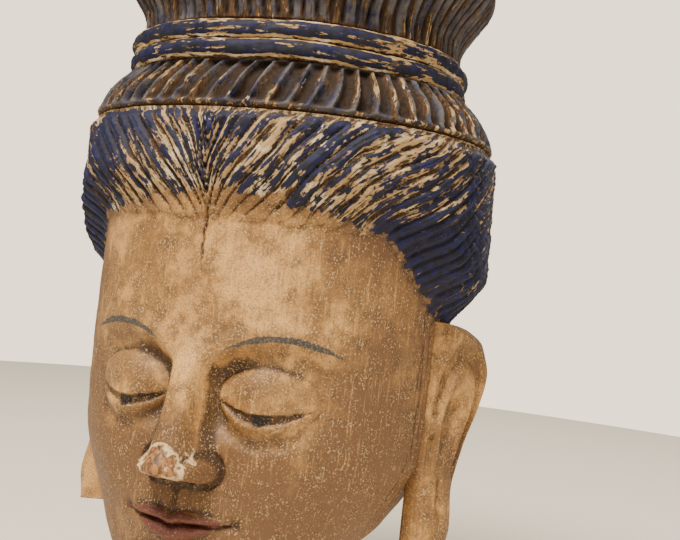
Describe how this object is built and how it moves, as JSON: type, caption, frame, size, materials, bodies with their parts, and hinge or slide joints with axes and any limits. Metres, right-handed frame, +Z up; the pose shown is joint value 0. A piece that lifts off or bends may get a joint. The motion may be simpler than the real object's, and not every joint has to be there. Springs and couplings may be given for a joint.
{
  "type": "carved wooden head mask",
  "caption": "Carved, hollowed and painted wooden head mask with long ears, banded topknot and a D-ring on a rear batten for wall hanging.",
  "frame": {"origin": "middle of the lower edge of the flat back, where the back meets the cut of the neck", "axes": "face looks along -Y, +Z up from the neck to the topknot, +X towards the head's own left ear; the flat back lies in y = 0"},
  "size_m": [0.2048, 0.1324, 0.365],
  "materials": {
    "painted_wood": "aged gesso and paint",
    "hair_paint": "flaked blue paint over gesso",
    "tie_paint": "worn dark paint over gesso",
    "bare_wood": "bare tool-marked wood",
    "dowel_wood": "bare turned wood",
    "brass": "dulled brass",
    "iron": "dark forged iron"
  },
  "bodies": {
    "mask": {"face_block": "painted_wood", "left_side_block": "painted_wood", "right_side_block": "painted_wood", "left_ear": "painted_wood", "right_ear": "painted_wood", "hair_roll": "hair_paint", "lower_hair_tie": "tie_paint", "upper_hair_tie": "tie_paint", "topknot": "hair_paint", "topknot_pin": "dowel_wood", "seam_dowels": "dowel_wood", "crown_dowels": "dowel_wood", "ear_pegs": "dowel_wood", "neck_butterfly_key": "dowel_wood", "hanging_batten": "bare_wood", "batten_nails": "iron", "hanger_strap": "brass", "hanger_screw": "brass"},
    "ring": {"hanging_ring": "brass"}
  },
  "joints": [
    {"name": "ring_swing", "type": "hinge", "parent": "mask", "child": "ring", "pos_m": [0, -0.0035, 0.201], "axis": [1, 0, 0], "range_deg": [0, 180]}
  ]
}
